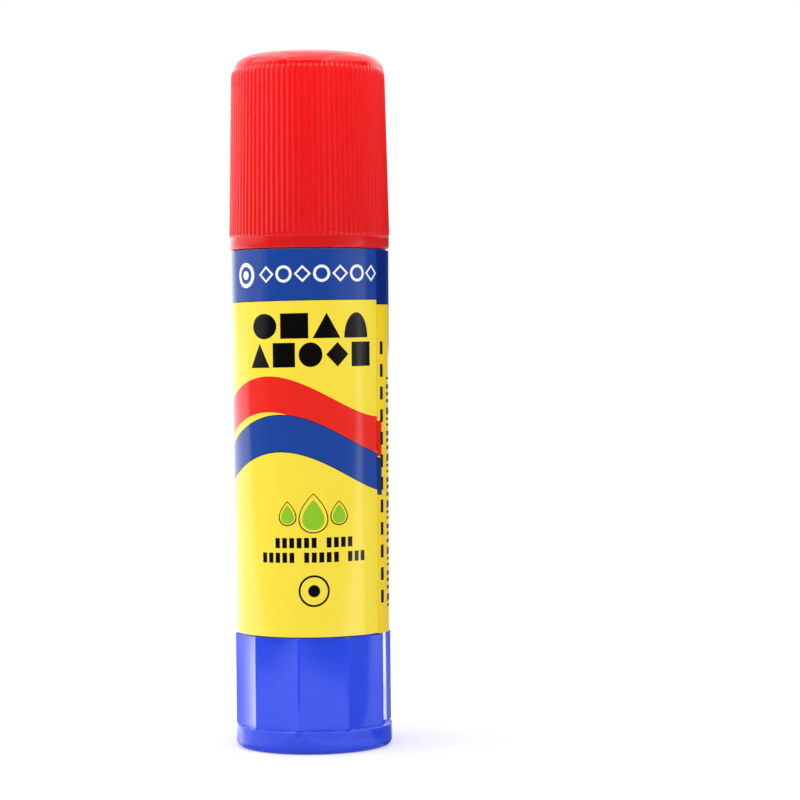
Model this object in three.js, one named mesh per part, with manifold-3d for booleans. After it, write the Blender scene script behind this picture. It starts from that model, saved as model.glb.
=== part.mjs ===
// A glue stick, standing on its turning knob with the cap on.
// Millimetres, +Z up. The origin is the middle of the knob's underside, and the front faces -Y.
// Angles are measured from the front towards +X.

import * as THREE from "three";
import { mergeVertices } from "three/addons/utils/BufferGeometryUtils.js";
import Module from "manifold-3d";

const wasm = await Module();
wasm.setup();

// How finely round things are cut: sides to a full turn.
const BARREL_SIDES = 72;
const KNOB_SIDES = 60;
const INNER_SIDES = 48;
const SCREW_SIDES = 16;
const ROUND_STEPS = 4;
const MERGE_MM = 1e-4;
const OVERRUN = 1; // how far a cutter runs past what it cuts

// The glue and the space round it.
const GLUE_LENGTH = 55.7;
const GLUE_EDGE = 0.5;
const BORE_R = 7.9;
const GLUE_RECESS = 1.8; // the fresh glue stands this far below the neck's rim

// The barrel.
const BODY_TAPER = 0.24; // how much wider the body is at its shoulder than at its foot
const NECK_WALL = 0.9;
const NECK_HEIGHT = 18.35;
const NECK_EDGE = 0.3;
const GRIP_RING_HEIGHT = 4.2; // from the shoulder to the ring that holds the cap
const GRIP_RING_WIDTH = 1;
const GRIP_RING_DEPTH = 0.15;
const FOOT_NECK_WALL = 0.82;
const FOOT_NECK_DEPTH = 4.5;
const LEDGE_HEIGHT = 1.7; // from the body's foot up to the ledge that the carrier rests on
const LEDGE_WIDTH = 0.6;
const SNAP_DEPTH = 0.3;
const SNAP_WIDTH = 1;
const SNAP_RISE = 0.9; // from the foot neck's end up to the snap bead
const KEYWAY_COUNT = 4;
const KEYWAY_DEPTH = 0.4;
const KEYWAY_WIDTH = 2.4;
const KEYWAY_END = 4.6; // the keyways stop this far below the neck's rim

// The wrap-round label.
const FILM = 0.12;
const FILM_GAP = 0.03;
const LABEL_MARGIN = 0.05; // bare barrel above and below the label
const SEAM_DEG = 56;
const SEAM_OVERLAP_DEG = 16;
const SEAM_STEPS = 4;
const SEAM_BITE = 0.05;

// The knob.
const KNOB_HEIGHT = 14.3;
const KNOB_PROUD = 0.15; // the knob's corners stand out past the label
const KNOB_FLOOR = 1.8;
const KNOB_FLATS = 10;
const KNOB_CORNER_DEG = 25.1;
const FLANGE_HEIGHT = 2.8;
const FLANGE_ROUND = 0.8;
const SOCKET_DEPTH = 4.4;
const SOCKET_WALL = 1.5;

// The feed screw.
const LEAD = 5; // the carrier climbs this much in one turn of the knob
const SCREW_CORE_R = 2.1;
const THREAD_DEPTH = 0.65;
const THREAD_CREST = 0.9;
const THREAD_ROOT = 1.8;
const THREAD_BITE = 0.3;
const THREAD_FADE_TURNS = 0.5;
const SCREW_STEM_R = 4;
const SCREW_FOOT_SIDES = 6;
const SCREW_FOOT_ACROSS = 5; // across the flats
const SCREW_SEAL_THICKNESS = 1.2;
const SCREW_SEAL_RISE = 1.4; // from the foot neck's end up to the sealing disc
const SCREW_TIP_COVER = 3.2; // glue above the end of its bore
const SCREW_TIP_CHAMFER = 0.8;

// The carrier.
const CUP_WALL = 0.6;
const CUP_DEPTH = 7.5;
const CUP_FLOOR = 1.6;
const SKIRT_HEIGHT = 5;
const SKIRT_WALL = 0.8;
const NUT_WALL = 1.25;
const FIN_COUNT = 4;
const FIN_TURN_DEG = 45; // between the keys
const FIN_WIDTH = 0.8;
const FIN_DEPTH = 1.2;
const FIN_HEIGHT = 5;

// The cap and its seal.
const CAP_WALL = 0.85; // at the mouth
const CAP_OVERHANG = 0.06; // the rim stands out past the label
const CAP_TOP = 1.2;
const CAP_HEADROOM = 4.8; // from the neck's rim to the inside of the cap's top
const RIM_HEIGHT = 1.6;
const RIM_CHAMFER = 0.2;
const RIB_COUNT = 88;
const RIB_SET_BACK = 0.17; // the foot of the ribs lies this far inside the rim
const RIB_DEPTH = 0.25;
const RIB_DRAFT = 0.4; // how much the ribbed wall draws in towards the top
const RIB_RUN_OUT = 0.5;
const SHOULDER_HEIGHT = 1.95;
const SHOULDER_WIDTH = 2.23;
const SEAL_BEAD = 0.3;
const SEAL_FLANGE = 0.8;
const SEAL_LIP_WALL = 0.7;

// Clearances between one piece and the next.
const TURN_GAP = 0.1; // knob under barrel
const TIP_GAP = 0.4; // screw in the end of the glue's bore
const SLIDE_GAP = 0.15; // carrier in bore, cap over neck, lip in neck
const SNAP_GAP = 0.18;
const KEY_GAP = 0.2;
const SEAT_GAP = 0.1;
const THREAD_GAP = 0.2;
const GLUE_GAP = 0.05;
const FIN_GAP = 0.15;
const SOCKET_GAP = 0.05;
const CAP_GAP = 0.1; // cap over the barrel's shoulder
const SEAL_EDGE_GAP = 0.15;
const LIP_GAP = 0.6; // over the fresh glue

// Heights, worked out from the knob upwards.
const footZ = KNOB_HEIGHT + TURN_GAP;
const footNeckZ = footZ - FOOT_NECK_DEPTH;
const ledgeZ = footZ + LEDGE_HEIGHT;
const carrierZ = ledgeZ + SEAT_GAP;
const cupZ = carrierZ + SKIRT_HEIGHT + CUP_FLOOR;
const glueTopZ = cupZ + GLUE_LENGTH;
const neckTopZ = glueTopZ + GLUE_RECESS;
const shoulderZ = neckTopZ - NECK_HEIGHT;
const capZ = shoulderZ + CAP_GAP;
const ceilingZ = neckTopZ + CAP_HEADROOM;
const capTopZ = ceilingZ + CAP_TOP;
const socketTopZ = KNOB_FLOOR + SEAT_GAP + SOCKET_DEPTH;
const snapZ = footNeckZ + SNAP_RISE;

// Radii, worked out from the bore outwards to the cap, and from the cap back to the barrel and knob.
const carrierR = BORE_R - SLIDE_GAP;
const cupR = carrierR - CUP_WALL;
const glueR = cupR - GLUE_GAP;
const neckR = BORE_R + NECK_WALL;
const capBoreR = neckR + SLIDE_GAP;
const capMouthR = capBoreR + GRIP_RING_DEPTH;
const rimR = capMouthR + CAP_WALL;
const sealFlangeR = capBoreR - 2 * SEAL_EDGE_GAP;
const shoulderR = rimR - CAP_OVERHANG - FILM - FILM_GAP;
const bodyR = shoulderR - BODY_TAPER;
const footNeckInR = BORE_R - LEDGE_WIDTH;
const footNeckR = footNeckInR + FOOT_NECK_WALL;
const knobInR = footNeckR + SNAP_GAP;
const knobR = bodyR + FILM_GAP + FILM + KNOB_PROUD;
const knobFlatR = knobR * Math.cos(Math.PI / KNOB_FLATS);
const threadR = SCREW_CORE_R + THREAD_DEPTH;

// A closed mesh as a solid that can be joined and cut.
function solid(geometry) {
  geometry.deleteAttribute("normal");
  geometry.deleteAttribute("uv");
  const merged = mergeVertices(geometry, MERGE_MM);
  const triVerts = new Uint32Array(merged.index.array);
  const vertProperties = merged.attributes.position.array;
  return new wasm.Manifold(new wasm.Mesh({ numProp: 3, vertProperties, triVerts }));
}

// One piece of the object as a named mesh.
function piece(name, shape, material) {
  const { vertProperties, triVerts } = shape.getMesh();
  const geometry = new THREE.BufferGeometry();
  geometry.setAttribute("position", new THREE.BufferAttribute(vertProperties, 3));
  geometry.setIndex(new THREE.BufferAttribute(triVerts, 1));
  const mesh = new THREE.Mesh(geometry, new THREE.MeshStandardMaterial({ flatShading: true, ...material }));
  mesh.name = name;
  return mesh;
}

// Turns a profile of [radius, height] points, listed with the material on its left, round the Z axis.
function turned(profile, sides, startDeg = 0) {
  const points = profile.map(([r, z]) => new THREE.Vector2(r, z));
  if (profile[0][0] > 0) points.push(points[0].clone());
  const start = THREE.MathUtils.degToRad(startDeg);
  return solid(new THREE.LatheGeometry(points, sides, start).rotateX(Math.PI / 2));
}

// An upright prism with regular sides, given by the distance from its axis to a flat.
function prism(sides, flatR, cornerDeg, fromZ, toZ) {
  const cornerR = flatR / Math.cos(Math.PI / sides);
  const corners = Array.from({ length: sides }, (_, i) => {
    const at = onCircle(cornerR, cornerDeg + (360 * i) / sides, 0);
    return new THREE.Vector2(at.x, at.y);
  });
  const options = { depth: toZ - fromZ, bevelEnabled: false };
  return solid(new THREE.ExtrudeGeometry(new THREE.Shape(corners), options).translate(0, 0, fromZ));
}

// Bars across the axis, spread evenly, so that each makes two of the wanted blades.
function crossBars(blades, width, reachR, fromZ, toZ, startDeg) {
  const height = toZ - fromZ;
  const bars = Array.from({ length: blades / 2 }, (_, i) => {
    const turn = THREE.MathUtils.degToRad(startDeg + (360 * i) / blades);
    const bar = new THREE.BoxGeometry(2 * reachR, width, height);
    return solid(bar.rotateZ(turn).translate(0, 0, fromZ + height / 2));
  });
  return bars.reduce((all, bar) => all.add(bar));
}

// A point at a radius, an angle from the front and a height.
function onCircle(r, deg, z) {
  const a = THREE.MathUtils.degToRad(deg);
  return new THREE.Vector3(r * Math.sin(a), -r * Math.cos(a), z);
}

// A quarter ellipse of [radius, height] points that rounds an edge off, from the widest point inwards.
function roundedEdge(r, z, width, height) {
  return Array.from({ length: ROUND_STEPS + 1 }, (_, i) => {
    const a = (i / ROUND_STEPS) * (Math.PI / 2);
    return [r - width * (1 - Math.cos(a)), z + height * Math.sin(a)];
  });
}

// A closed body from a list of cross-sections with equally many corners, such as a thread's ridge.
function swept(sections) {
  const corners = sections[0].length;
  const index = [];
  for (let s = 0; s + 1 < sections.length; s++) {
    for (let c = 0; c < corners; c++) {
      const a = s * corners + c;
      const b = s * corners + ((c + 1) % corners);
      index.push(a, b, b + corners, a, b + corners, a + corners);
    }
  }
  const last = (sections.length - 1) * corners;
  for (let c = 1; c + 1 < corners; c++) {
    index.push(0, c + 1, c, last, last + c, last + c + 1);
  }
  return solid(new THREE.BufferGeometry().setFromPoints(sections.flat()).setIndex(index));
}

// A closed body from rings of points round the Z axis, from its inner pole to its outer one.
// A ring may have a whole number of times as many points as the one beside it.
function lofted(rings) {
  const starts = [];
  let count = 0;
  for (const ring of rings) {
    starts.push(count);
    count += ring.length;
  }
  const index = [];
  for (let k = 0; k + 1 < rings.length; k++) {
    const low = rings[k].length;
    const high = rings[k + 1].length;
    const most = Math.max(low, high);
    const lowAt = (i) => starts[k] + (Math.floor((i * low) / most) % low);
    const highAt = (i) => starts[k + 1] + (Math.floor((i * high) / most) % high);
    for (let i = 0; i < most; i++) {
      if (lowAt(i) !== lowAt(i + 1)) index.push(lowAt(i), lowAt(i + 1), highAt(i + 1));
      if (highAt(i) !== highAt(i + 1)) index.push(lowAt(i), highAt(i + 1), highAt(i));
    }
  }
  return solid(new THREE.BufferGeometry().setFromPoints(rings.flat()).setIndex(index));
}

// The ridge of the left-hand feed thread, made fuller all round by a gap for the nut's cutter.
function threadRidge(fromZ, toZ, gap, fadeTurns) {
  const turns = (toZ - fromZ) / LEAD;
  const steps = Math.ceil(turns * SCREW_SIDES);
  const rootR = SCREW_CORE_R - THREAD_BITE;
  const slope = (THREAD_ROOT - THREAD_CREST) / 2 / THREAD_DEPTH;
  const sections = Array.from({ length: steps + 1 }, (_, i) => {
    const turn = (i / steps) * turns;
    const z = fromZ + turn * LEAD;
    const deg = (-360 * z) / LEAD;
    const nearEnd = Math.min(turn, turns - turn);
    const full = fadeTurns > 0 ? Math.min(1, nearEnd / fadeTurns) : 1;
    const crestR = SCREW_CORE_R - THREAD_BITE / 2 + (THREAD_DEPTH + THREAD_BITE / 2) * full + gap;
    const halfAt = (r) => THREAD_CREST / 2 + gap + (threadR + gap - r) * slope;
    return [
      onCircle(rootR, deg, z - halfAt(rootR)),
      onCircle(crestR, deg, z - halfAt(crestR)),
      onCircle(crestR, deg, z + halfAt(crestR)),
      onCircle(rootR, deg, z + halfAt(rootR)),
    ];
  });
  return swept(sections);
}

// The barrel: a tube with a neck for the cap above and a snap neck for the knob below.
function makeBarrel() {
  const gripZ = shoulderZ + GRIP_RING_HEIGHT;
  const gripR = neckR + GRIP_RING_DEPTH;
  const snapR = footNeckR + SNAP_DEPTH;
  const tube = turned(
    [
      [footNeckInR, footNeckZ],
      [footNeckR - NECK_EDGE, footNeckZ],
      [footNeckR, footNeckZ + NECK_EDGE],
      [footNeckR, snapZ],
      [snapR, snapZ + SNAP_DEPTH],
      [snapR, snapZ + SNAP_WIDTH],
      [footNeckR, snapZ + SNAP_WIDTH],
      [footNeckR, footZ],
      [bodyR, footZ],
      [shoulderR, shoulderZ],
      [neckR, shoulderZ],
      [neckR, gripZ],
      [gripR, gripZ + GRIP_RING_DEPTH],
      [gripR, gripZ + GRIP_RING_WIDTH - GRIP_RING_DEPTH],
      [neckR, gripZ + GRIP_RING_WIDTH],
      [neckR, neckTopZ - NECK_EDGE],
      [neckR - NECK_EDGE, neckTopZ],
      [BORE_R + NECK_EDGE / 2, neckTopZ],
      [BORE_R, neckTopZ - NECK_EDGE],
      [BORE_R, ledgeZ],
      [footNeckInR, ledgeZ],
    ],
    BARREL_SIDES
  );
  const keyways = crossBars(
    KEYWAY_COUNT, KEYWAY_WIDTH, BORE_R + KEYWAY_DEPTH, ledgeZ, neckTopZ - KEYWAY_END, 0
  );
  return tube.subtract(keyways);
}

// The label: one film round the barrel, with its outer end lapped over its inner one at the seam.
function makeLabel() {
  const fromZ = footZ + LABEL_MARGIN;
  const toZ = shoulderZ - LABEL_MARGIN;
  const barrelR = (z) => bodyR + (BODY_TAPER * (z - footZ)) / (shoulderZ - footZ);
  const innerR = (z) => barrelR(z) + FILM_GAP;
  const outerR = (z) => innerR(z) + FILM;
  const wrap = turned(
    [
      [innerR(fromZ), fromZ],
      [outerR(fromZ), fromZ],
      [outerR(toZ), toZ],
      [innerR(toZ), toZ],
    ],
    BARREL_SIDES
  );
  const sections = Array.from({ length: SEAM_STEPS + 1 }, (_, i) => {
    const deg = SEAM_DEG + (i / SEAM_STEPS) * SEAM_OVERLAP_DEG;
    return [
      onCircle(outerR(fromZ) - SEAM_BITE, deg, fromZ),
      onCircle(outerR(toZ) - SEAM_BITE, deg, toZ),
      onCircle(outerR(toZ) + FILM, deg, toZ),
      onCircle(outerR(fromZ) + FILM, deg, fromZ),
    ];
  });
  return wrap.add(swept(sections));
}

// The knob: a cup with ten flats over a round flange, a snap groove inside and a socket for the screw.
function makeKnob() {
  const flange = turned(
    [
      [0, 0],
      ...roundedEdge(knobR, FLANGE_ROUND, FLANGE_ROUND, -FLANGE_ROUND).reverse(),
      [knobR, FLANGE_HEIGHT],
      [0, FLANGE_HEIGHT],
    ],
    KNOB_SIDES,
    KNOB_CORNER_DEG
  );
  const grip = prism(KNOB_FLATS, knobFlatR, KNOB_CORNER_DEG, FLANGE_HEIGHT / 2, KNOB_HEIGHT);
  const socketFlatR = SCREW_FOOT_ACROSS / 2 + SOCKET_GAP;
  const bossR = socketFlatR / Math.cos(Math.PI / SCREW_FOOT_SIDES) + SOCKET_WALL;
  const grooveR = knobInR + SNAP_DEPTH;
  const grooveZ = snapZ - SNAP_GAP;
  const grooveTopZ = snapZ + SNAP_WIDTH + SNAP_GAP;
  const hollow = turned(
    [
      [0, socketTopZ],
      [bossR, socketTopZ],
      [bossR, KNOB_FLOOR],
      [knobInR, KNOB_FLOOR],
      [knobInR, grooveZ],
      [grooveR, grooveZ + SNAP_DEPTH],
      [grooveR, grooveTopZ],
      [knobInR, grooveTopZ],
      [knobInR, KNOB_HEIGHT + OVERRUN],
      [0, KNOB_HEIGHT + OVERRUN],
    ],
    KNOB_SIDES,
    KNOB_CORNER_DEG
  );
  const socket = prism(SCREW_FOOT_SIDES, socketFlatR, 0, KNOB_FLOOR, socketTopZ + OVERRUN);
  return flange.add(grip).subtract(hollow).subtract(socket);
}

// The feed screw: a six-sided foot in the knob, a sealing disc in the barrel's foot and a long thread.
function makeFeedScrew() {
  const sealZ = footNeckZ + SCREW_SEAL_RISE;
  const sealTopZ = sealZ + SCREW_SEAL_THICKNESS;
  const tipZ = glueTopZ - SCREW_TIP_COVER - TIP_GAP;
  const footFlatR = SCREW_FOOT_ACROSS / 2;
  const foot = prism(SCREW_FOOT_SIDES, footFlatR, 0, KNOB_FLOOR + SEAT_GAP, socketTopZ + SEAT_GAP);
  const shaft = turned(
    [
      [0, socketTopZ],
      [SCREW_STEM_R, socketTopZ],
      [SCREW_STEM_R, sealZ],
      [footNeckInR - SLIDE_GAP, sealZ],
      [footNeckInR - SLIDE_GAP, sealTopZ],
      [SCREW_CORE_R, sealTopZ],
      [SCREW_CORE_R, tipZ - SCREW_TIP_CHAMFER],
      [SCREW_CORE_R - SCREW_TIP_CHAMFER, tipZ],
      [0, tipZ],
    ],
    SCREW_SIDES
  );
  const threadEnds = THREAD_ROOT / 2 + SCREW_TIP_CHAMFER;
  const ridge = threadRidge(sealTopZ + threadEnds, tipZ - threadEnds, 0, THREAD_FADE_TURNS);
  return shaft.add(foot).add(ridge);
}

// The carrier: a cup that holds the glue's foot, on a keyed skirt with the nut in its middle.
function makeCarrier() {
  const floorZ = carrierZ + SKIRT_HEIGHT;
  const rimZ = cupZ + CUP_DEPTH;
  const nutHoleR = SCREW_CORE_R + THREAD_GAP;
  const nutR = threadR + THREAD_GAP + NUT_WALL;
  const skirtInR = carrierR - SKIRT_WALL;
  const cup = turned(
    [
      [nutHoleR, carrierZ],
      [nutR, carrierZ],
      [nutR, floorZ],
      [skirtInR, floorZ],
      [skirtInR, carrierZ],
      [carrierR, carrierZ],
      [carrierR, rimZ],
      [cupR, rimZ],
      [cupR, cupZ],
      [nutHoleR, cupZ],
    ],
    INNER_SIDES
  );
  const keys = crossBars(
    KEYWAY_COUNT, KEYWAY_WIDTH - 2 * KEY_GAP, BORE_R + KEYWAY_DEPTH - KEY_GAP, carrierZ, floorZ, 0
  );
  const keyRing = turned(
    [
      [skirtInR + SKIRT_WALL / 2, carrierZ],
      [2 * BORE_R, carrierZ],
      [2 * BORE_R, floorZ],
      [skirtInR + SKIRT_WALL / 2, floorZ],
    ],
    INNER_SIDES
  );
  const finReach = cupR + CUP_WALL / 2;
  const finTopZ = cupZ + FIN_HEIGHT;
  const fins = crossBars(FIN_COUNT, FIN_WIDTH, finReach, cupZ - CUP_FLOOR / 2, finTopZ, FIN_TURN_DEG);
  const finCore = turned(
    [
      [0, cupZ - CUP_FLOOR],
      [cupR - FIN_DEPTH, cupZ - CUP_FLOOR],
      [cupR - FIN_DEPTH, finTopZ + OVERRUN],
      [0, finTopZ + OVERRUN],
    ],
    INNER_SIDES
  );
  const cutter = threadRidge(carrierZ - LEAD, cupZ + LEAD, THREAD_GAP, 0);
  return cup.add(keys.intersect(keyRing)).add(fins.subtract(finCore)).subtract(cutter);
}

// The glue: a round stick with a blind bore for the screw and slots for the carrier's fins.
function makeGlue() {
  const boreR = threadR + THREAD_GAP;
  const boreTopZ = glueTopZ - SCREW_TIP_COVER;
  const stick = turned(
    [
      [0, boreTopZ],
      [boreR, boreTopZ],
      [boreR, cupZ],
      [glueR, cupZ],
      [glueR, glueTopZ - GLUE_EDGE],
      [glueR - GLUE_EDGE, glueTopZ],
      [0, glueTopZ],
    ],
    INNER_SIDES
  );
  const slotZ = cupZ - OVERRUN;
  const slotTopZ = cupZ + FIN_HEIGHT + FIN_GAP;
  const slotInR = cupR - FIN_DEPTH - FIN_GAP;
  const slotWidth = FIN_WIDTH + 2 * FIN_GAP;
  const slots = crossBars(FIN_COUNT, slotWidth, glueR + OVERRUN, slotZ, slotTopZ, FIN_TURN_DEG);
  const kept = turned(
    [
      [0, slotZ - OVERRUN],
      [slotInR, slotZ - OVERRUN],
      [slotInR, slotTopZ + OVERRUN],
      [0, slotTopZ + OVERRUN],
    ],
    INNER_SIDES
  );
  return stick.subtract(slots.subtract(kept));
}

// The cap: a cup with a plain rim, fine upright ribs and a rounded shoulder.
function makeCap() {
  const ribZ = capZ + RIM_HEIGHT;
  const ribTopZ = capTopZ - SHOULDER_HEIGHT;
  const ribFootR = rimR - RIB_SET_BACK;
  const ribHeadR = ribFootR - RIB_DRAFT;
  const plain = (r, z) =>
    Array.from({ length: RIB_COUNT }, (_, i) => onCircle(r, (360 * i) / RIB_COUNT, z));
  const ribbed = (r, z) =>
    Array.from({ length: 3 * RIB_COUNT }, (_, i) => {
      const inValley = i % 3 === 0;
      return onCircle(inValley ? r : r + RIB_DEPTH, (360 * i) / (3 * RIB_COUNT), z);
    });
  const wallR = (z) => ribFootR - (RIB_DRAFT * (z - ribZ)) / (ribTopZ - ribZ);
  const sealZ = ceilingZ - SEAL_FLANGE;
  const pocketR = sealFlangeR + SEAL_EDGE_GAP;
  const shoulder = roundedEdge(ribHeadR, ribTopZ, SHOULDER_WIDTH, SHOULDER_HEIGHT);
  return lofted([
    [new THREE.Vector3(0, 0, ceilingZ)],
    plain(pocketR, ceilingZ),
    plain(pocketR, sealZ),
    plain(pocketR - SEAL_BEAD, sealZ - SEAL_BEAD),
    plain(capBoreR, sealZ - 2 * SEAL_BEAD),
    plain(capMouthR, capZ + GRIP_RING_HEIGHT + 2 * GRIP_RING_WIDTH),
    plain(capMouthR, capZ),
    plain(rimR - RIM_CHAMFER, capZ),
    plain(rimR, capZ + RIM_CHAMFER),
    plain(rimR, ribZ - RIB_SET_BACK),
    plain(wallR(ribZ), ribZ),
    ribbed(wallR(ribZ + RIB_RUN_OUT), ribZ + RIB_RUN_OUT),
    ribbed(wallR(ribTopZ - RIB_RUN_OUT), ribTopZ - RIB_RUN_OUT),
    ...shoulder.map(([r, z]) => plain(r, z)),
    [new THREE.Vector3(0, 0, capTopZ)],
  ]);
}

// The cap's seal: a soft disc under the cap's top, with a lip that plugs the barrel's neck.
function makeCapSeal() {
  const flangeZ = ceilingZ - SEAL_FLANGE;
  const lipR = BORE_R - SLIDE_GAP;
  const lipZ = glueTopZ + LIP_GAP;
  return turned(
    [
      [0, flangeZ],
      [lipR - SEAL_LIP_WALL, flangeZ],
      [lipR - SEAL_LIP_WALL, lipZ],
      [lipR, lipZ],
      [lipR, flangeZ],
      [sealFlangeR, flangeZ],
      [sealFlangeR, ceilingZ],
      [0, ceilingZ],
    ],
    INNER_SIDES
  );
}

const WHITE_PLASTIC = { color: 0xf2f2ee, roughness: 0.45, metalness: 0 };

const glueStick = new THREE.Group();
glueStick.add(
  piece("barrel", makeBarrel(), WHITE_PLASTIC),
  piece("label", makeLabel(), { color: 0xf5de46, roughness: 0.3, metalness: 0 }),
  piece("knob", makeKnob(), { color: 0x3c55ee, roughness: 0.2, metalness: 0 }),
  piece("feed_screw", makeFeedScrew(), WHITE_PLASTIC),
  piece("glue_carrier", makeCarrier(), WHITE_PLASTIC),
  piece("glue", makeGlue(), { color: 0xf4f3ec, roughness: 0.6, metalness: 0 }),
  piece("cap", makeCap(), { color: 0xe62324, roughness: 0.25, metalness: 0 }),
  piece("cap_seal", makeCapSeal(), { color: 0xf7f7f5, roughness: 0.5, metalness: 0 })
);

export default glueStick;
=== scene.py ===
import math
from collections import Counter

import bpy
from mathutils import Matrix, Vector
from mathutils.geometry import delaunay_2d_cdt


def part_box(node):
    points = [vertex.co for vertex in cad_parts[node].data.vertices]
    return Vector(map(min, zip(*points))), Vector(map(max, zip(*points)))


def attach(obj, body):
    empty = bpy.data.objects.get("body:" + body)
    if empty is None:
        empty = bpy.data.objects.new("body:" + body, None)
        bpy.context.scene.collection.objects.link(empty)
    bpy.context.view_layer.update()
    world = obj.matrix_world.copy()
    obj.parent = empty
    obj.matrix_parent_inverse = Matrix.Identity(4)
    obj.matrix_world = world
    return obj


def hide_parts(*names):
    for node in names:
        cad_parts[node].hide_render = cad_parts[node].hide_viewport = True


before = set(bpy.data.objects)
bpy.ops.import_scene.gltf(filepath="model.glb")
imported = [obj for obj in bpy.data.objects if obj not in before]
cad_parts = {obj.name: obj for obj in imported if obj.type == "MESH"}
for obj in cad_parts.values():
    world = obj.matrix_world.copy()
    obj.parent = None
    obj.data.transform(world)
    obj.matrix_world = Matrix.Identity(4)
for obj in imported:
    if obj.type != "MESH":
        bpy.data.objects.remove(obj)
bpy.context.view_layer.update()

# The camera stands a third of a metre in front of the stick, a little above its middle. It looks past the
# stick's right side, because the stick stands left of the middle of the picture, and it is held a little
# askew.
CAMERA_PLACE = Vector((0, -0.325, 0.0493))
CAMERA_LENS_MM = 116.4
CAMERA_SENSOR_MM = 36
CAMERA_NEAR_LIMIT = 0.01
CAMERA_YAW_DEG = 1.97
CAMERA_PITCH_DEG = 1.085
CAMERA_ROLL_DEG = 0.55


def turn(degrees, axis):
    return Matrix.Rotation(math.radians(degrees), 4, axis)


camera = bpy.data.objects.new("camera", bpy.data.cameras.new("camera"))
camera.data.lens = CAMERA_LENS_MM
camera.data.sensor_width = CAMERA_SENSOR_MM
camera.data.clip_start = CAMERA_NEAR_LIMIT
camera.matrix_world = (
    Matrix.Translation(CAMERA_PLACE)
    @ turn(-CAMERA_YAW_DEG, "Z")
    @ turn(90 - CAMERA_PITCH_DEG, "X")
    @ turn(-CAMERA_ROLL_DEG, "Z")
)
bpy.context.scene.collection.objects.link(camera)
bpy.context.scene.camera = camera
bpy.context.scene.view_settings.view_transform = "Standard"

# The room: white, with soft boxes beside the stick and over it. In the gloss it is dark in front, and bright
# at the left, behind and overhead. At the right it is bright only low down towards the front, and high up.
WHITE = (1, 1, 1, 1)
ROOM_LIGHT = (0.43, 0.43, 0.43, 1)
DARK = 0.03
LAMP_AIM = Vector((0, 0, 0.045))
# Each of these has two places along one axis of a direction, and the brightness at each of them.
LEFT_FRONT = (-0.52, -0.2, 0, 0.85)
LEFT_REAR = (0.55, 0.85, 0, 1.9)
LEFT_SIDE = (-0.2, 0.1, 1, 0)
LEFT_RISE = (0.04, 0.09, 1, 1.3)
RIGHT_SIDE = (0.42, 0.97, 0, 0.92)
RIGHT_END = (-0.03, 0.02, 1, 0)
RIGHT_RISE = (0.045, 0.08, 1, 0.2)
BACK_WALL = (0.2, 0.5, 0, 1.9)
BACK_RISE = (0.1, 0.25, 0, 1)
CORNICE_RISE = (0.35, 0.55, 0, 2)
CORNICE_SIDE = (0.3, 0.5, 0, 1)
CEILING = (0.8, 1, 0, 1.6)


def wired(tree, kind, inputs=None, **settings):
    """A new shader node, with its settings, and its inputs filled from values or other nodes' outputs."""
    node = tree.nodes.new("ShaderNode" + kind)
    for name, value in settings.items():
        setattr(node, name, value)
    for name, value in (inputs or {}).items():
        if isinstance(value, bpy.types.NodeSocket):
            tree.links.new(value, node.inputs[name])
        else:
            node.inputs[name].default_value = value
    return node


def ramp(tree, value, low, high, at_low, at_high):
    """A value that runs from one level to another between two places, and stays level beyond them."""
    levels = {"Value": value, "From Min": low, "From Max": high, "To Min": at_low, "To Max": at_high}
    return wired(tree, "MapRange", levels).outputs[0]


def times(tree, first, second):
    return wired(tree, "Math", {0: first, 1: second}, operation="MULTIPLY").outputs[0]


def greater(tree, first, second):
    return wired(tree, "Math", {0: first, 1: second}, operation="MAXIMUM").outputs[0]


def blend(tree, share, first, second, kind="MIX"):
    """A colour between two, by the share of the second."""
    colours = {"Fac": share, "Color1": first, "Color2": second}
    return wired(tree, "MixRGB", colours, blend_type=kind).outputs[0]


def soft_box(name, from_front_deg, height, distance, size, power, shines=True):
    """An oblong lamp, placed by its angle from the front towards +X, and turned towards the stick."""
    light = bpy.data.lights.new(name, "AREA")
    light.shape = "RECTANGLE"
    light.size, light.size_y = size
    light.energy = power
    lamp = bpy.data.objects.new(name, light)
    angle = math.radians(from_front_deg)
    lamp.location = (distance * math.sin(angle), -distance * math.cos(angle), height)
    lamp.rotation_euler = (LAMP_AIM - lamp.location).to_track_quat("-Z", "Y").to_euler()
    lamp.visible_glossy = shines
    bpy.context.scene.collection.objects.link(lamp)


room = bpy.data.worlds.new("white room")
room.use_nodes = True
tree = room.node_tree
ray = wired(tree, "LightPath").outputs
way = wired(tree, "SeparateXYZ", {0: wired(tree, "TexCoord").outputs["Generated"]}).outputs
left = greater(tree, ramp(tree, way["Y"], *LEFT_FRONT), ramp(tree, way["Y"], *LEFT_REAR))
left_share = times(tree, ramp(tree, way["X"], *LEFT_SIDE), ramp(tree, way["Z"], *LEFT_RISE))
left = times(tree, left, left_share)
right = times(tree, ramp(tree, way["X"], *RIGHT_SIDE), ramp(tree, way["Y"], *RIGHT_END))
right = times(tree, right, ramp(tree, way["Z"], *RIGHT_RISE))
behind = times(tree, ramp(tree, way["Y"], *BACK_WALL), ramp(tree, way["Z"], *BACK_RISE))
walls = greater(tree, greater(tree, left, right), greater(tree, behind, DARK))
cornice = times(tree, ramp(tree, way["Z"], *CORNICE_RISE), ramp(tree, way["X"], *CORNICE_SIDE))
in_gloss = greater(tree, greater(tree, walls, cornice), ramp(tree, way["Z"], *CEILING))
light = blend(tree, ray["Is Glossy Ray"], ROOM_LIGHT, in_gloss)
seen = greater(tree, ray["Is Camera Ray"], ray["Is Transmission Ray"])
tree.links.new(blend(tree, seen, light, WHITE), tree.nodes["Background"].inputs["Color"])
bpy.context.scene.world = room

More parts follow.
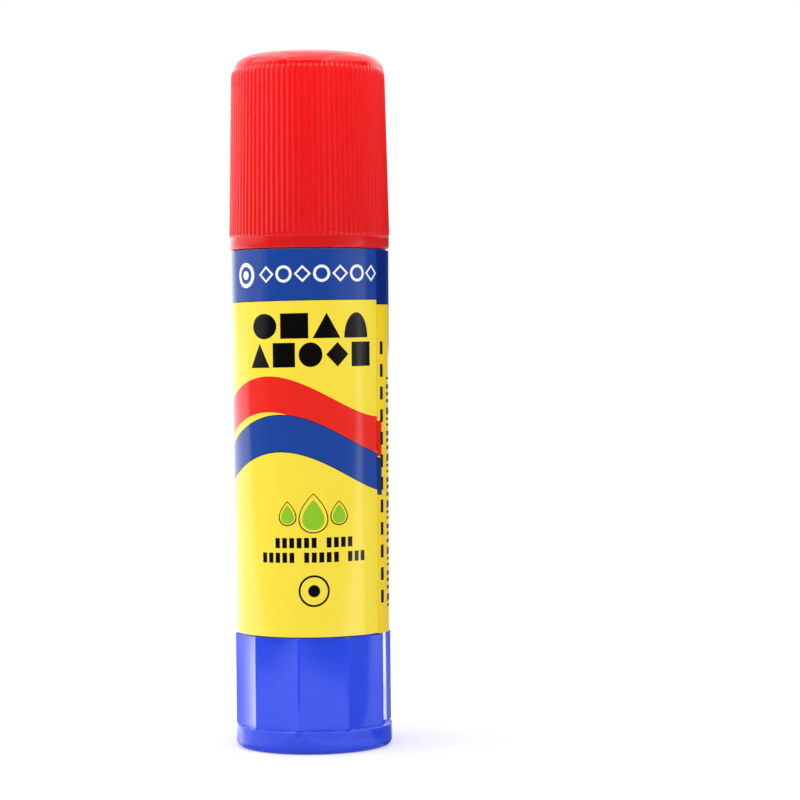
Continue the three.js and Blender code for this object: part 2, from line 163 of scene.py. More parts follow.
soft_box("left soft box", -95, height=0.08, distance=0.3, size=(0.24, 0.4), power=0.3, shines=False)
soft_box("upper left soft box", -75, height=0.5, distance=0.35, size=(0.5, 0.5), power=1.2)
soft_box("right soft box", 71, height=0.08, distance=0.3, size=(0.19, 0.4), power=0.22, shines=False)
soft_box("top soft box", 180, height=0.42, distance=0.1, size=(0.5, 0.32), power=0.8)
soft_box("front soft box", 0, height=0.42, distance=0.24, size=(0.5, 0.4), power=1)

# The table: a plain white top, so wide that its far edge is lost in the white room. It keeps the stick's
# soft shade. In the gloss it glows with painted light and shade: it is dark from a hand's breadth in front
# of the stick, close to the stick's foot and along the right side, and brightest behind the stick.
TABLE_HALF = 60
TABLE_GREY = (0.9, 0.9, 0.9, 1)
# To the camera the table's matt paint is yellowish and its glow bluish. Where it is lit they add up to
# white, and its shadow takes a painted blue tint.
TABLE_SHADE = (0.88, 0.865, 0.56, 1)
TABLE_GLOW = (1.03, 1.03, 1.65, 1)
TABLE_GLOSS = (1.03, 1.03, 1.15, 1)
EDGE_SLANT = 0.3
STICK_SIDE = 0.0085
STICK_FRONT = 0.0035
DARK_FOOT = 0.35
DARK_RIGHT = 0.12
# Each of these has two places, and the brightness at each of them.
SHADE_FADE = (0.03, 0.13, 0.4, 1)
FRONT_EDGE = (-0.104, -0.066, DARK, 1)
FOOT_LEFT = (-0.013, -0.008, 1, 0)
FOOT_FRONT = (-0.2, 0.3, 0.9, 1.5)
FOOT_REAR = (0.55, 0.9, 1, 0.1)
FAR_OFF = (0.07, 0.14, 1, 1.6)
REAR_FADE = (0.07, 0.14, 2.6, 1.05)
NEAR_RIGHT = (0.02, 0.1, 0, 1)
NEAR_RIGHT_FADE = (0.055, 0.11, 0.5, 0.15)
FAR_RIGHT = (0.34, 0.41, 0, 1)
RIGHT_START = (-0.2, -0.13, 0, 1)
# These have the two places alone.
FOOT_END = (0.012, 0.03)
REAR = (0.5, 0.78)


def times_plus(tree, first, second, third):
    return wired(tree, "Math", {0: first, 1: second, 2: third}, operation="MULTIPLY_ADD").outputs[0]


table_mesh = bpy.data.meshes.new("table")
table_corners = [(x * TABLE_HALF, y * TABLE_HALF, 0) for x, y in ((-1, -1), (1, -1), (1, 1), (-1, 1))]
table_mesh.from_pydata(table_corners, [], [(0, 1, 2, 3)])
table = bpy.data.objects.new("table", table_mesh)
bpy.context.scene.collection.objects.link(table)
table_paint = bpy.data.materials.new("table paint")
table_paint.use_nodes = True
tree = table_paint.node_tree
ray = wired(tree, "LightPath").outputs
matt = wired(tree, "BsdfDiffuse", {"Color": blend(tree, ray["Is Camera Ray"], TABLE_GREY, TABLE_SHADE)})
place = wired(tree, "TexCoord").outputs["Object"]
from_stick = wired(tree, "VectorMath", {0: place}, operation="LENGTH").outputs["Value"]
spot = wired(tree, "SeparateXYZ", {0: place}).outputs
side = wired(tree, "Math", {0: spot["X"]}, operation="SIGN").outputs[0]
beside = times_plus(tree, side, -STICK_SIDE, spot["X"])
past = wired(tree, "Math", {0: spot["Y"], 1: STICK_FRONT}, operation="ADD").outputs[0]
way = wired(tree, "CombineXYZ", {"X": beside, "Y": past}).outputs[0]
way = wired(tree, "VectorMath", {0: way}, operation="NORMALIZE").outputs[0]
way = wired(tree, "SeparateXYZ", {0: way}).outputs
front_edge = ramp(tree, times_plus(tree, spot["X"], EDGE_SLANT, spot["Y"]), *FRONT_EDGE)
# Painted shade in the table's gloss close to the stick's foot.
at_foot = times(tree, ramp(tree, spot["X"], *FOOT_LEFT), ramp(tree, way["Y"], *FOOT_FRONT))
at_foot = times(tree, at_foot, ramp(tree, way["Y"], *FOOT_REAR))
at_foot = ramp(tree, from_stick, *FOOT_END, greater(tree, at_foot, DARK_FOOT), 1)
lit = times(tree, at_foot, ramp(tree, from_stick, *FAR_OFF))
# Painted light in the table's gloss behind the stick.
behind = ramp(tree, way["Y"], *REAR, 1, ramp(tree, from_stick, *REAR_FADE))
# Painted shade in the table's gloss along the right side.
near_right = times(tree, ramp(tree, way["X"], *NEAR_RIGHT), ramp(tree, from_stick, *NEAR_RIGHT_FADE))
right = greater(tree, ramp(tree, way["X"], *FAR_RIGHT), near_right)
right = ramp(tree, times(tree, right, ramp(tree, way["Y"], *RIGHT_START)), 0, 1, 1, DARK_RIGHT)
lit = times(tree, times(tree, lit, front_edge), times(tree, behind, right))
tint = blend(tree, ray["Is Camera Ray"], TABLE_GLOSS, TABLE_GLOW)
strength = ramp(tree, ray["Is Camera Ray"], 0, 1, lit, 1)
glow = wired(tree, "Emission", {"Color": tint, "Strength": strength})
seen = greater(tree, ray["Is Camera Ray"], ray["Is Transmission Ray"])
glow_share = greater(tree, ray["Is Glossy Ray"], times(tree, seen, ramp(tree, from_stick, *SHADE_FADE)))
mixed = wired(tree, "MixShader", {0: glow_share, 1: matt.outputs[0], 2: glow.outputs[0]})
tree.links.new(mixed.outputs[0], tree.nodes["Material Output"].inputs["Surface"])
table_mesh.materials.append(table_paint)

# The turning knob: one clear blue moulding, a cup with ten flats for the fingers over a round flange.
# Inside it has a groove that snaps over the barrel's foot, and a six-sided socket that drives the screw.
MM = 0.001
FINE_EDGE = 0.15
SOFT_EDGE = 0.2
FILLET = 0.3
SHARP_DEG = 35
SKIN_RELIEF = 0.00004
LIGHT_DEPTH = 0.0015
KNOB_R = 9.8
KNOB_IN_R = 8.3
KNOB_FLATS = 10
KNOB_CORNER_DEG = 25.1
KNOB_CORNER_ROUND = 0.5
KNOB_FLAT_HOLLOW = 0.2
KNOB_BLUE = (47, 82, 241)
CORNER_STEPS_DEG = (0, 0.25, 0.5, 0.75, 0.95, *range(2, 19, 2))
FLANGE_TOP = 2.8
FLANGE_ROUND = 0.8
KNOB_FLOOR = 1.8
SOCKET_R = 2.55
SOCKET_TOP = 6.3
BOSS_R = 4.44
GROOVE_R = 8.6
GROOVE_TOP_DEPTH = 2.32
GROOVE_FLOOR_DEPTH = 3.38
GROOVE_FOOT_DEPTH = 3.68
# The moulding mark under the knob is given by radius and height, the grip's foot by its spread, its distance
# from the flange's edge and its rise, and the grip's upper edge by inset and depth.
MOULDING_MARK = ((0, 0.22), (0.7, 0.2), (0.9, 0.04), (1.1, 0))
GRIP_FOOT = ((0.2, 0.18, 0), (0.06, 0.16, 0.06))
GRIP_EDGE = ((0, 0.15), (0.02, 0.08), (0.06, 0.03), (0.15, 0))
knob_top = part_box("knob")[1].z / MM


def srgb(*colour):
    """A colour as a screen shows it, from 0 to 255, as the shader takes it."""
    shares = [part / 255 for part in colour]
    return [((share + 0.055) / 1.055) ** 2.4 if share > 0.04 else share / 12.92 for share in shares] + [1]


def lofted(name, body, outline, angles, material):
    """A closed piece from rings round the stick's axis, in millimetres, that replaces the node of that name.
    A ring is a radius, or a rule for the radius at each angle, and a height. The outline runs with the
    material on its left, seen with the axis on the left. Angles run from the front towards +X."""
    points, rings = [], []
    for radius, height in outline:
        if radius == 0:
            rings.append([len(points)])
            points.append((0, 0, height * MM))
            continue
        rings.append(range(len(points), len(points) + len(angles)))
        for degrees in angles:
            angle = math.radians(degrees)
            out = radius(degrees) if callable(radius) else radius
            points.append((out * math.sin(angle) * MM, -out * math.cos(angle) * MM, height * MM))
    pairs = list(zip(rings, rings[1:]))
    if len(rings[0]) > 1:
        pairs.append((rings[-1], rings[0]))
    faces = []
    for low, high in pairs:
        for i in range(len(angles)):
            j = (i + 1) % len(angles)
            if len(low) == 1:
                faces.append((low[0], high[j], high[i]))
            elif len(high) == 1:
                faces.append((low[i], low[j], high[0]))
            else:
                faces.append((low[i], low[j], high[j], high[i]))
    mesh = bpy.data.meshes.new(name)
    mesh.from_pydata(points, [], faces)
    mesh.shade_smooth()
    mesh.set_sharp_from_angle(angle=math.radians(SHARP_DEG))
    mesh.materials.append(material)
    piece = bpy.data.objects.new(name + "_skin", mesh)
    bpy.context.scene.collection.objects.link(piece)
    flat_walls = piece.modifiers.new("flat walls", "WEIGHTED_NORMAL")
    flat_walls.weight = 100
    flat_walls.keep_sharp = True
    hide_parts(name)
    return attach(piece, body)


def rounded(r, z, radius, from_deg, to_deg, steps=5):
    """A round stretch of an outline about a centre, with 0 degrees outwards and 90 upwards."""
    arc = [math.radians(from_deg + (to_deg - from_deg) * i / steps) for i in range(steps + 1)]
    return [(r + radius * math.cos(angle), z + radius * math.sin(angle)) for angle in arc]


def corner_round(r, z, radius, from_deg, to_deg, steps=5):
    """A quarter round in an outline, in the place of a sharp corner at that radius and height."""
    middle = math.radians((from_deg + to_deg) / 2)
    outwards = math.copysign(radius, math.cos(middle))
    upwards = math.copysign(radius, math.sin(middle))
    return rounded(r - outwards, z - upwards, radius, from_deg, to_deg, steps)


def plastic(name):
    """A new material, with its nodes and its surface."""
    material = bpy.data.materials.new(name)
    material.use_nodes = True
    return material, material.node_tree, material.node_tree.nodes["Principled BSDF"]


def moulded(name, colour, roughness, mottle=0.04, grain=0.3, subsurface=0, clear=0, painted_shades=(), polish=()):
    """Injection-moulded plastic: pigment that flowed a little unevenly, under a fine skin that isn't quite
    flat and is rubbed here and there. Between two heights it may be painted darker or lighter, as painted
    shade and light, or grow glossier."""
    material, tree, skin = plastic(name)
    place = wired(tree, "TexCoord").outputs["Object"]
    stretched = wired(tree, "Mapping", {"Vector": place, "Scale": (1, 1, 0.35)}).outputs[0]
    flow = wired(tree, "TexNoise", {"Vector": stretched, "Scale": 260, "Detail": 4, "Distortion": 0.6})
    bright = [min(1, part * (1 + mottle)) for part in colour[:3]] + [1]
    dim = [part * (1 - mottle) for part in colour[:3]] + [1]
    pigment = blend(tree, flow.outputs["Fac"], dim, bright)
    up = wired(tree, "SeparateXYZ", {0: place}).outputs["Z"]
    # Painted shade and light: the colour is made darker or lighter between two heights.
    for depth in painted_shades:
        shaded = wired(tree, "HueSaturation", {"Color": pigment, "Value": ramp(tree, up, *depth)})
        pigment = shaded.outputs[0]
    tree.links.new(pigment, skin.inputs["Base Color"])
    rubbed = wired(tree, "TexNoise", {"Vector": place, "Scale": 900, "Detail": 6, "Roughness": 0.7})
    rough = ramp(tree, rubbed.outputs["Fac"], 0.3, 0.7, roughness * 0.8, roughness * 1.25)
    for step in polish:
        rough = times(tree, rough, ramp(tree, up, *step))
    tree.links.new(rough, skin.inputs["Roughness"])
    ripple = wired(tree, "TexNoise", {"Vector": place, "Scale": 700, "Detail": 2})
    speckle = wired(tree, "TexNoise", {"Vector": place, "Scale": 9000, "Detail": 2})
    relief = times_plus(tree, speckle.outputs["Fac"], 0.15, ripple.outputs["Fac"])
    bump = wired(tree, "Bump", {"Height": relief, "Strength": grain, "Distance": SKIN_RELIEF})
    tree.links.new(bump.outputs[0], skin.inputs["Normal"])
    skin.inputs["Subsurface Weight"].default_value = subsurface
    skin.inputs["Subsurface Scale"].default_value = LIGHT_DEPTH
    skin.inputs["Subsurface Radius"].default_value = [max(part, 0.08) for part in colour[:3]]
    skin.inputs["Transmission Weight"].default_value = clear
    return material


def prism(sides, flat_r, corner_deg, round_r=0, hollow=0):
    """The radius rule of a regular prism with rounded corners and slightly hollow flats."""
    half = 180 / sides

    def radius(degrees):
        off = (degrees - corner_deg) % (2 * half) - half
        from_corner = math.radians(half - abs(off))
        centre = (flat_r - round_r) / math.cos(math.radians(half))
        bend = round_r * math.sin(math.radians(half))
        if from_corner < math.atan2(bend, centre + round_r * math.cos(math.radians(half))):
            reach = round_r**2 - (centre * math.sin(from_corner)) ** 2
            return centre * math.cos(from_corner) + math.sqrt(reach)
        return flat_r / math.cos(math.radians(off)) - hollow * (1 - (off / half) ** 2)

    return radius


def offset(rule, outwards):
    """A radius rule, moved outwards all round."""
    return lambda degrees: rule(degrees) + outwards


def grip_foot(spread, from_edge):
    """The grip's outline, spread out at its foot, as far as the flange's edge lets it."""
    return lambda degrees: min(grip(degrees) + spread, KNOB_R - from_edge)


knob_flat_r = KNOB_R * math.cos(math.pi / KNOB_FLATS)
grip = prism(KNOB_FLATS, knob_flat_r, KNOB_CORNER_DEG, KNOB_CORNER_ROUND, KNOB_FLAT_HOLLOW)
socket = prism(6, SOCKET_R, 0)
socket_corners = {60 * i for i in range(6)}
grip_angles = {
    round((KNOB_CORNER_DEG + 360 * flat / KNOB_FLATS + side * step) % 360, 3)
    for flat in range(KNOB_FLATS)
    for side in (-1, 1)
    for step in CORNER_STEPS_DEG
}
knob_outline = [
    *MOULDING_MARK,
    *corner_round(KNOB_R, 0, FLANGE_ROUND, -90, 0, 8),
    *corner_round(KNOB_R, FLANGE_TOP, FINE_EDGE, 0, 90),
    *[(grip_foot(spread, from_edge), FLANGE_TOP + rise) for spread, from_edge, rise in GRIP_FOOT],
    (grip, FLANGE_TOP + SOFT_EDGE),
    *[(offset(grip, -inset), knob_top - depth) for inset, depth in GRIP_EDGE],
    (KNOB_IN_R + FINE_EDGE, knob_top),
    (KNOB_IN_R, knob_top - FINE_EDGE),
    (KNOB_IN_R, knob_top - GROOVE_TOP_DEPTH),
    (GROOVE_R, knob_top - GROOVE_TOP_DEPTH),
    (GROOVE_R, knob_top - GROOVE_FLOOR_DEPTH),
    (KNOB_IN_R, knob_top - GROOVE_FOOT_DEPTH),
    *corner_round(KNOB_IN_R, KNOB_FLOOR, FILLET, 0, -90),
    *corner_round(BOSS_R, KNOB_FLOOR, SOFT_EDGE, 270, 180),
    *corner_round(BOSS_R, SOCKET_TOP, FINE_EDGE, 0, 90),
    (offset(socket, FINE_EDGE), SOCKET_TOP),
    (socket, SOCKET_TOP - FINE_EDGE),
    (socket, KNOB_FLOOR),
    (0, KNOB_FLOOR),
]
# Painted shade: the knob is a little darker towards its top, where the barrel stands inside.
barrel_shade = ((knob_top - 5) * MM, (knob_top - 1.5) * MM, 1, 0.98)
# Painted shade: the flange is darker than the grip.
flange_shade = ((FLANGE_TOP - 0.4) * MM, (FLANGE_TOP + 0.2) * MM, 0.9, 1)
blue_plastic = moulded(
    "blue_plastic", srgb(*KNOB_BLUE), 0.05, clear=0.12, subsurface=0.3, painted_shades=[barrel_shade, flange_shade]
)
knob = lofted("knob", "knob", knob_outline, sorted(socket_corners | grip_angles), blue_plastic)

# The feed screw: one white moulding, pushed into the knob's socket by its six-sided foot. Its disc closes
# the barrel's foot, and its coarse left-hand thread lifts the glue.
LEAD = 5
CORE_R = 2.1
CORE_FILLET = 0.4
THREAD_R = 2.75
THREAD_CREST = 0.9
THREAD_ROOT = 1.8
THREAD_END = 1.7
THREAD_STEP = 0.15
THREAD_FADE = 2.5
SCREW_FOOT_R = 2.5
SCREW_FOOT_CHAMFER = 0.3
STEM_R = 4
STEM_RISE = 1.4
DISC_R = 7.15
DISC_THICKNESS = 1.2
TIP_ROUND = 0.8
PLASTIC_WHITE = (240, 240, 235)
screw_low, screw_high = (corner.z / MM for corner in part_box("feed_screw"))
stem_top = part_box("barrel")[0].z / MM + STEM_RISE
disc_top = stem_top + DISC_THICKNESS
thread_low = disc_top + THREAD_END
thread_high = screw_high - THREAD_END


def thread(core_r, crest_r, height, spare=0, low=thread_low, high=thread_high):
    """The radius rule of the screw at one height, made fuller by some spare for the nut."""

    def radius(degrees):
        from_ridge = (height + degrees * LEAD / 360) % LEAD
        from_ridge = min(from_ridge, LEAD - from_ridge)
        slope = (THREAD_ROOT - THREAD_CREST) / 2
        full = min(1, max(0, (THREAD_ROOT / 2 + spare - from_ridge) / slope))
        fade = min(1, max(0, min(height - low, high - height) / THREAD_FADE))
        return core_r + (crest_r - core_r) * full * fade

    return radius


def evenly(count):
    return [360 * i / count for i in range(count)]


screw_steps = round((thread_high - thread_low) / THREAD_STEP)
thread_heights = [thread_low + i * THREAD_STEP for i in range(screw_steps + 1)]
screw_foot = prism(6, SCREW_FOOT_R, 0)
screw_outline = [
    (0, screw_low),
    (offset(screw_foot, -SCREW_FOOT_CHAMFER), screw_low),
    (screw_foot, screw_low + SCREW_FOOT_CHAMFER),
    (screw_foot, SOCKET_TOP),
    *corner_round(STEM_R, SOCKET_TOP, SOFT_EDGE, -90, 0),
    *corner_round(STEM_R, stem_top, FILLET, 180, 90),
    *corner_round(DISC_R, stem_top, SOFT_EDGE, -90, 0),
    *corner_round(DISC_R, disc_top, SOFT_EDGE, 0, 90),
    *corner_round(CORE_R, disc_top, CORE_FILLET, 270, 180),
    *[(thread(CORE_R, THREAD_R, height), height) for height in thread_heights],
    *corner_round(CORE_R, screw_high, TIP_ROUND, 0, 90),
    (0, screw_high),
]
white_plastic = moulded(
    "white_plastic", srgb(*PLASTIC_WHITE), 0.42, mottle=0.015, grain=0.4, subsurface=0.25
)
feed_screw = lofted("feed_screw", "knob", screw_outline, evenly(48), white_plastic)

# The barrel: a white moulded tube, a little wider at its shoulder than at its foot. A thinner neck above
# takes the cap over a ring that grips it, a neck below snaps into the knob, and four keyways run inside.
FOOT_R = 9.5
SHOULDER_R = 9.74
END_GAP = 0.1
LEDGE_RISE = 1.7
BORE_R = 7.9
BORE_EDGE = 0.25
NECK_R = 8.8
GRIP_RING_R = 8.95
GRIP_RING_RISE = 4.2
GRIP_RING_WIDTH = 1
GRIP_RING_SLOPE = 0.3
FOOT_NECK_R = 8.12
FOOT_NECK_IN_R = 7.3
FOOT_NECK_EDGE = 0.1
SNAP_BEAD_R = 8.42
SNAP_BEAD_RISE = 0.9
SNAP_BEAD_SLOPE = 0.35
SNAP_BEAD_WIDTH = 1
SNAP_BEAD_EDGE = 0.1
KEYWAY_R = 8.3
KEYWAY_WIDTH = 2.4
KEYWAY_END = 4.6
barrel_low, barrel_high = (corner.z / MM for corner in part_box("barrel"))
foot_z = knob_top + END_GAP
shoulder_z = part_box("cap")[0].z / MM - END_GAP
ledge_z = foot_z + LEDGE_RISE
ring_z = shoulder_z + GRIP_RING_RISE
ring_top = ring_z + GRIP_RING_WIDTH
bead_z = barrel_low + SNAP_BEAD_RISE
bead_top = bead_z + SNAP_BEAD_WIDTH
keyway_top = barrel_high - KEYWAY_END


def keyed(plain_r, key_r, width, first_deg=0):
    """The radius rule of a round wall with four flat-bottomed grooves or four keys across it."""
    edge = math.degrees(math.asin(width / 2 / max(plain_r, key_r)))

    def radius(degrees):
        off = abs((degrees - first_deg + 45) % 90 - 45)
        return key_r / math.cos(math.radians(off)) if off <= edge else plain_r

    return radius


def with_edges(angles, width, r, first_deg=0, sharpness=0.12):
    """Those angles, and two close ones at each side of four grooves or keys."""
    edge = math.degrees(math.asin(width / 2 / r))
    sides = {
        (90 * quarter + first_deg + side * (edge + beyond)) % 360
        for quarter in range(4)
        for side in (-1, 1)
        for beyond in (0, sharpness)
    }
    return sorted(set(angles) | sides)


keyway = keyed(BORE_R, KEYWAY_R, KEYWAY_WIDTH)
barrel_outline = [
    (FOOT_NECK_IN_R, barrel_low + FOOT_NECK_EDGE),
    (FOOT_NECK_IN_R + FOOT_NECK_EDGE, barrel_low),
    (FOOT_NECK_R - FILLET, barrel_low),
    (FOOT_NECK_R, barrel_low + FILLET),
    (FOOT_NECK_R, bead_z),
    *rounded(SNAP_BEAD_R - FINE_EDGE, bead_z + SNAP_BEAD_SLOPE, FINE_EDGE, -60, 0, 3),
    (SNAP_BEAD_R, bead_top - SNAP_BEAD_EDGE),
    (SNAP_BEAD_R - SNAP_BEAD_EDGE, bead_top),
    (FOOT_NECK_R, bead_top),
    (FOOT_NECK_R, foot_z),
    *corner_round(FOOT_R, foot_z, FINE_EDGE, -90, 0, 4),
    *corner_round(SHOULDER_R, shoulder_z, SOFT_EDGE, 0, 90),
    *corner_round(NECK_R, shoulder_z, FINE_EDGE, 270, 180, 4),
    (NECK_R, ring_z),
    *rounded(GRIP_RING_R - SOFT_EDGE, ring_z + GRIP_RING_SLOPE, SOFT_EDGE, -50, 0, 3),
    *rounded(GRIP_RING_R - SOFT_EDGE, ring_top - GRIP_RING_SLOPE, SOFT_EDGE, 0, 50, 3),
    (NECK_R, ring_top),
    *corner_round(NECK_R, barrel_high, FILLET, 0, 90),
    *corner_round(BORE_R, barrel_high, BORE_EDGE, 90, 180),
    (BORE_R, keyway_top + FILLET),
    (keyway, keyway_top),
    (keyway, ledge_z),
    (FOOT_NECK_IN_R + FOOT_NECK_EDGE, ledge_z),
    (FOOT_NECK_IN_R, ledge_z - FOOT_NECK_EDGE),
]
barrel_angles = with_edges(evenly(180), KEYWAY_WIDTH, KEYWAY_R)
barrel = lofted("barrel", "barrel", barrel_outline, barrel_angles, white_plastic)

# The label: one sheet of glossy printed film, wound once round the barrel and lapped over its own inner
# end on the right. It was wound a little askew, so the print steps down where its outer end lies on top.
PRINT_R = 9.8
SEAM_DEG = 56
LAP_DEG = 16
RAMP_DEG = 8
FILM = 0.12
FILM_GAP = 0.03
LAP_GAP = 0.01
FILM_FOLD = 3
FILM_RELIEF = 0.00006
SHEET_SKEW = 0.08
PRINT_SKEW = 0.5
SPARE = 1
PAST_EDGE = 20
TRAP = 0.11
DOUBLE_INK = 1.45
INKS = {
    "yellow": (246, 222, 66),
    "blue": (27, 67, 152),
    "trap": (24, 46, 84),
    "red": (232, 38, 28),
    "black": (9, 7, 6),
    "white": (240, 242, 246),
    "green": (140, 196, 44),
    "back": (236, 234, 226),
}
AROUND = 2 * math.pi * PRINT_R
HEADER_LOW = 55.67
HEADER_ROW_Z = 58.85
HEADER_RING_X = -9
LINK_X = -5.6
LINK_PITCH = 2.35
WAVE_Z = 39.2
WAVE_RISE = 2.6
WAVE_CREST = -5.5
WAVE_LAG = 1.6
WAVE_STEP = 0.6
WAVE_START_DEG = 50
WAVE_END_DEG = 440
RIBBON = 4.4
RIBBON_GAP = 0.2
PRINT_MIDDLE = 0.15
DROPS_Z = 29.6
WORD_ROWS = ((26.0, (6, 4)), (24.2, (5, 5, 3)))
LETTER_PITCH = 0.93
RING_Z = 20.1
LADDER_DEG = 94
LADDER_LOW = 18.0
LINES_DEG = 196
LINES_TOP = 27.6
LINE_PITCH = 1.9
DASH_PITCH = 3.1
label_low, label_high = (corner.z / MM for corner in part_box("label"))
prints = []


def along(degrees):
    """The place on the flat sheet, in millimetres from the middle of the front, of an angle on the stick."""
    return math.radians(degrees - 360) * PRINT_R


def shape(ink, x, z, width, height, outline):
    """Prints a shape of a unit outline, at a place along the sheet and a height."""
    prints.append((ink, [(x + width * point_x, z + height * point_z) for point_x, point_z in outline]))


def ringed(ink, inside, x, z, width, height, outline, stroke):
    """A shape drawn as a line of that width."""
    shape(ink, x, z, width, height, outline)
    shape(inside, x, z, width - 2 * stroke, height - 2 * stroke, outline)


def printed_row(first_x, pitch, z, width, height, outlines):
    """A row of black shapes."""
    for i, outline in enumerate(outlines):
        shape("black", first_x + pitch * i, z, width, height, outline)


def wave(ink, low, high, lag):
    """A ribbon that rises and falls twice round the sheet, between two heights over its middle line."""
    start = along(WAVE_START_DEG)
    steps = int((along(WAVE_END_DEG) - start) / WAVE_STEP)
    places = [start + i * WAVE_STEP for i in range(steps + 1)]
    rises = [WAVE_RISE * math.cos(4 * math.pi * (x - WAVE_CREST - lag) / AROUND) for x in places]
    line = [(x, WAVE_Z + rise) for x, rise in zip(places, rises)]
    prints.append((ink, [(x, z + low) for x, z in line] + [(x, z + high) for x, z in reversed(line)]))


FULL_TURN = [2 * math.pi * i / 48 for i in range(48)]
ROUND = [(math.cos(angle) / 2, math.sin(angle) / 2) for angle in FULL_TURN]
SQUARE = [(-0.5, -0.5), (0.5, -0.5), (0.5, 0.5), (-0.5, 0.5)]
PEAK = [(-0.5, -0.5), (0.5, -0.5), (0, 0.5)]
LOZENGE = [(0, -0.5), (0.5, 0), (0, 0.5), (-0.5, 0)]
HILL = [(math.cos(math.pi * i / 32) / 2, math.sin(math.pi * i / 32) - 0.5) for i in range(33)]
DROP = [(-0.64 * math.sin(angle) * math.sin(angle / 2) ** 0.9, 0.5 * math.cos(angle)) for angle in FULL_TURN]

sheet_start = along(SEAM_DEG)
sheet_end = along(SEAM_DEG + 360 + LAP_DEG)
sheet_middle = (sheet_start + sheet_end) / 2
sheet_length = sheet_end - sheet_start
shape("yellow", sheet_middle, (label_low + label_high) / 2, sheet_length, label_high - label_low, SQUARE)
shape("trap", sheet_middle, HEADER_LOW - TRAP + PAST_EDGE / 2, sheet_length + 2 * SPARE, PAST_EDGE, SQUARE)
shape("blue", sheet_middle, HEADER_LOW + PAST_EDGE / 2, sheet_length + 2 * SPARE, PAST_EDGE, SQUARE)
wave("red", RIBBON_GAP, RIBBON_GAP + RIBBON, 0)
wave("trap", -RIBBON_GAP - RIBBON - TRAP, -RIBBON_GAP + TRAP, WAVE_LAG)
wave("blue", -RIBBON_GAP - RIBBON, -RIBBON_GAP, WAVE_LAG)

for middle in (0, -AROUND / 2):
    ring_x = middle + HEADER_RING_X
    ringed("white", "blue", ring_x, HEADER_ROW_Z, width=3.1, height=3.1, outline=ROUND, stroke=0.5)
    shape("white", ring_x, HEADER_ROW_Z, width=1.1, height=1.1, outline=ROUND)
    for i in range(7):
        link_x = middle + LINK_X + LINK_PITCH * i
        ringed("white", "blue", link_x, HEADER_ROW_Z, 2.1, 2.1, (LOZENGE, ROUND)[i % 2], stroke=0.34)
    upper_row = (ROUND, SQUARE, PEAK, HILL)
    lower_row = (PEAK, SQUARE, ROUND, LOZENGE, SQUARE)
    printed_row(middle - 6, pitch=4, z=52.5, width=3.5, height=3.1, outlines=upper_row)
    printed_row(middle - 6.7, pitch=3.35, z=48.95, width=2.9, height=3.0, outlines=lower_row)

for x, size in ((PRINT_MIDDLE, 1), (-3.1, 0.62), (3.4, 0.62)):
    ringed("black", "yellow", x, DROPS_Z, width=3.7 * size, height=4.9 * size, outline=DROP, stroke=0.14)
    shape("green", x, DROPS_Z - 0.2 * size, width=2.7 * size, height=3.7 * size, outline=DROP)

for z, words in WORD_ROWS:
    letters = sum(words) + len(words) - 1
    x = -LETTER_PITCH * (letters - 1) / 2 + 0.2
    for word in words:
        for _ in range(word):
            shape("black", x, z, width=0.62, height=1.25, outline=SQUARE)
            x += LETTER_PITCH
        x += LETTER_PITCH

ringed("black", "yellow", PRINT_MIDDLE, RING_Z, width=3.9, height=3.9, outline=ROUND, stroke=0.26)
shape("black", PRINT_MIDDLE, RING_Z, width=1.5, height=1.5, outline=ROUND)

# The side has a ladder of bars and a column of dashes, and the back has rows of dashes.
shape("yellow", along(92), z=35.5, width=10.5, height=38, outline=SQUARE)
bar_z = LADDER_LOW
for i in range(30):
    thick = (0.3, 0.6, 0.45, 0.9)[(i * 7 + i // 3) % 4]
    shape("black", along(LADDER_DEG), bar_z + thick / 2, width=8.2, height=thick, outline=SQUARE)
    bar_z += thick + (0.35, 0.6, 0.45)[i % 3]
for i in range(12):
    shape("black", along(61.5), z=19.4 + 2.8 * i, width=0.75, height=1.6, outline=SQUARE)
for row in range(5):
    for i, dash in enumerate((2.4, 1.2, 3.1, 1.8, 2.2)):
        x = along(LINES_DEG) + DASH_PITCH * (i - 1)
        length = dash * (0.75 + 0.25 * ((row + i) % 2))
        shape("black", x, LINES_TOP - LINE_PITCH * row, width=length, height=0.42, outline=SQUARE)

# The flat sheet is cut along its printed shapes and along folds, and then wound.
flat_points, flat_faces = [], []
for number, (_, outline) in enumerate(prints):
    skew = PRINT_SKEW if number else 0
    flat_faces.append(range(len(flat_points), len(flat_points) + len(outline)))
    flat_points.extend(Vector((x, z + skew * x / AROUND)) for x, z in outline)
folds = []
fold_degs = {SEAM_DEG + FILM_FOLD * i for i in range(1, (360 + LAP_DEG) // FILM_FOLD + 1)}
fold_degs |= {SEAM_DEG + LAP_DEG + i for i in range(RAMP_DEG + 1)}
for degrees in sorted(fold_degs):
    folds.append((len(flat_points), len(flat_points) + 1))
    flat_points += [Vector((along(degrees), z)) for z in (label_low - SPARE, label_high + SPARE)]
flat_points, _, flat_triangles, _, _, from_faces = delaunay_2d_cdt(flat_points, folds, flat_faces, 0, 1e-5)


def film_place(point, outside):
    """Where a point of the flat sheet lies on the barrel, on the film's outer or inner face."""
    turned_deg = math.degrees(point.x / PRINT_R) + 360
    past_lap = min(1, max(0, (turned_deg - SEAM_DEG - LAP_DEG) / RAMP_DEG))
    lifted = (FILM + LAP_GAP) * (1 + math.cos(math.pi * past_lap)) / 2
    z = point.y + SHEET_SKEW * (turned_deg - 360) / 360
    share = (z - foot_z) / (shoulder_z - foot_z)
    out = FOOT_R + (SHOULDER_R - FOOT_R) * share + FILM_GAP + lifted + (FILM if outside else 0)
    angle = math.radians(turned_deg)
    return Vector((out * math.sin(angle), -out * math.cos(angle), z)) * MM


def edges(face):
    """A face's edges, each from one corner to the next."""
    return zip(face, face[1:] + face[:1])


